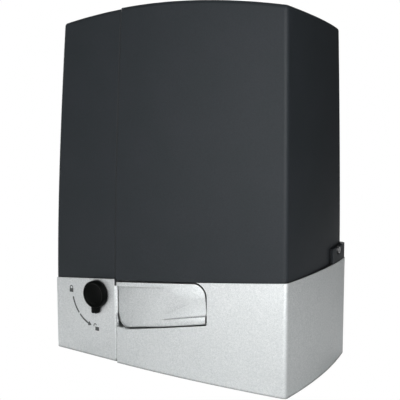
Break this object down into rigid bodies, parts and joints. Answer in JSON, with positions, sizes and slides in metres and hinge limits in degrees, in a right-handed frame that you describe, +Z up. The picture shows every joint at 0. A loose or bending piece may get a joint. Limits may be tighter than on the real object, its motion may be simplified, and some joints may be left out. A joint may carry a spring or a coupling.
{
  "type": "sliding gate motor",
  "caption": "Motor housing for a sliding gate: tall dark lift-off cover on a silver cast base, with a key-locked release flap, a geared motor inside and a rack pinion behind.",
  "frame": {"origin": "on the floor under the middle of the base, at the centre of the four anchor slots", "axes": "+X to the right along the front, +Y from the front panel to the gate, +Z up"},
  "size_m": [0.3, 0.21, 0.373],
  "materials": {
    "cast_silver": "fine speckled silver paint",
    "flap_silver": "fine speckled silver paint",
    "dark_cover": "fine matt grain",
    "knob_black": "smooth",
    "black_plastic": "matt",
    "white_plastic": "smooth",
    "board_green": "solder mask",
    "terminal_green": "smooth",
    "black_rubber": "matt",
    "cast_alloy": "as cast",
    "motor_grey": "machined casting",
    "lamination": "stacked sheets",
    "winding": "enamelled copper wire",
    "bronze": "machined bronze",
    "steel": "zinc plated",
    "bearing_steel": "ground",
    "pinion_steel": "zinc plated, cut teeth",
    "spring_steel": "drawn wire",
    "black_metal": "satin black"
  },
  "bodies": {
    "base": {"base_housing": "cast_silver", "cover_seal": "black_rubber", "cable_grommet": "black_rubber", "levelling_screws": "steel", "gear_case": "cast_alloy", "gear_case_bolts": "steel", "gear_case_lid": "cast_alloy", "gear_case_lid_screws": "steel", "shaft_seal": "black_rubber", "rear_bearing": "bearing_steel", "front_bearing": "bearing_steel", "worm_lower_bearing": "bearing_steel", "worm_upper_bearing": "bearing_steel", "motor_top_bearing": "bearing_steel", "motor_shell": "motor_grey", "stator_core": "lamination", "stator_windings": "winding", "motor_end_shield": "cast_alloy", "motor_bolts": "steel", "run_capacitor": "white_plastic", "transformer_core": "lamination", "transformer_coil": "winding", "board_carrier": "black_plastic", "control_board": "board_green", "board_screws": "steel", "terminal_blocks": "terminal_green", "relays": "black_plastic", "board_capacitor": "black_plastic", "button_housing": "black_plastic", "hinge_pin": "steel", "flap_switch": "black_plastic", "lock_barrel": "black_metal", "lock_nut": "steel", "limit_housing": "black_plastic"},
    "cover": {"cover_shell": "dark_cover", "cover_washers": "black_metal", "cover_screws": "steel", "cover_nuts": "steel"},
    "flap": {"release_flap": "flap_silver"},
    "lock": {"lock_knob": "knob_black", "lock_plug": "steel", "lock_tongue": "steel", "lock_screw": "steel"},
    "push_rod": {"release_rod": "steel"},
    "rotor": {"worm_shaft": "steel", "rotor_core": "lamination"},
    "wheel": {"worm_wheel": "bronze", "wheel_hub": "steel"},
    "output": {"output_shaft": "steel", "spacer_sleeve": "steel", "front_spacer": "steel", "drive_pinion": "pinion_steel", "pinion_key": "steel", "pinion_washer": "steel", "pinion_screw": "steel", "release_spring": "spring_steel"},
    "clutch_pin": {"release_pin": "steel"},
    "flap_plunger": {"switch_plunger": "white_plastic"},
    "button": {"button_cap": "white_plastic"},
    "limit": {"limit_lever": "spring_steel"}
  },
  "joints": [
    {"name": "cover_lift", "type": "slide", "parent": "base", "child": "cover", "axis": [0, 0, 1], "range_m": [0, 0.3]},
    {"name": "flap_hinge", "type": "hinge", "parent": "base", "child": "flap", "pos_m": [-0.0445, -0.07105, 0.0646], "axis": [0, 0, -1], "range_deg": [0, 60]},
    {"name": "lock_turn", "type": "hinge", "parent": "base", "child": "lock", "pos_m": [-0.0785, -0.08, 0.071], "axis": [0, 1, 0], "range_deg": [0, 90]},
    {"name": "push_rod_slide", "type": "slide", "parent": "base", "child": "push_rod", "axis": [0, 1, 0], "range_m": [0, 0.00601]},
    {"name": "rotor_turn", "type": "hinge", "parent": "base", "child": "rotor", "pos_m": [0.0055, 0.022, 0.054], "axis": [0, 0, 1], "continuous": true},
    {"name": "wheel_turn", "type": "hinge", "parent": "base", "child": "wheel", "pos_m": [-0.0445, 0.022, 0.054], "axis": [0, 1, 0], "continuous": true},
    {"name": "output_turn", "type": "hinge", "parent": "base", "child": "output", "pos_m": [-0.0445, 0.022, 0.054], "axis": [0, 1, 0], "continuous": true},
    {"name": "clutch_pin_slide", "type": "slide", "parent": "output", "child": "clutch_pin", "axis": [0, 1, 0], "range_m": [0, 0.00601], "deforming": ["release_spring"]},
    {"name": "flap_plunger_slide", "type": "slide", "parent": "base", "child": "flap_plunger", "axis": [0, 1, 0], "range_m": [0, 0.0015], "stiffness_N_per_m": 300, "springref_m": -0.0005},
    {"name": "button_press", "type": "slide", "parent": "base", "child": "button", "axis": [0, 1, 0], "range_m": [0, 0.0005], "stiffness_N_per_m": 1500, "springref_m": -0.0003},
    {"name": "limit_swing", "type": "hinge", "parent": "base", "child": "limit", "pos_m": [-0.0445, 0.079, 0.122], "axis": [0, 0, 1], "range_deg": [-35, 35], "stiffness_Nm_per_rad": 0.05}
  ],
  "couplings": [
    {"joint": "push_rod_slide", "follows": "flap_hinge", "m_per_rad": 0.0057296},
    {"joint": "clutch_pin_slide", "follows": "flap_hinge", "m_per_rad": 0.0057296},
    {"joint": "wheel_turn", "follows": "rotor_turn", "ratio": 0.033333},
    {"joint": "output_turn", "follows": "rotor_turn", "ratio": 0.033333}
  ]
}
